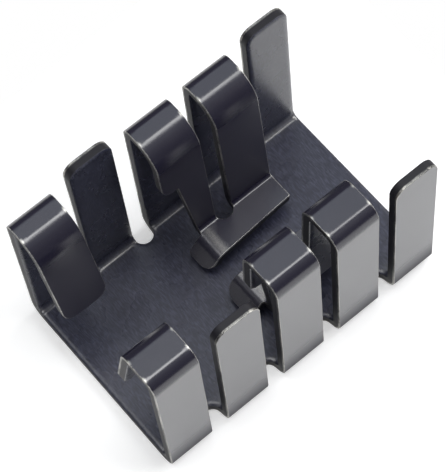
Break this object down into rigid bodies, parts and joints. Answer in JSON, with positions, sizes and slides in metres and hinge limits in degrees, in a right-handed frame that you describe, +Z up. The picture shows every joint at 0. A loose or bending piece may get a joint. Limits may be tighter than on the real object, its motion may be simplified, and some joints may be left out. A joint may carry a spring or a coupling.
{
  "type": "transistor heat sink",
  "caption": "Clip-on heat sink folded from black anodised aluminium sheet, a U-shaped channel with upright and hooked fins and folded spring bars that hold a power transistor's tab.",
  "frame": {"origin": "middle of the base's underside, on the surface that it stands on", "axes": "+X along the two rows of fins, from the end where the transistor goes in toward the far end; +Y across the channel, from the front row to the back row; +Z up, the way the fins stand"},
  "size_m": [0.019, 0.0126, 0.0127],
  "materials": {
    "black_anodised_aluminium": "black anodised, semi-gloss, with fine rolling lines across the sheet"
  },
  "bodies": {
    "root": {"heat_sink": "black_anodised_aluminium"}
  },
  "joints": []
}
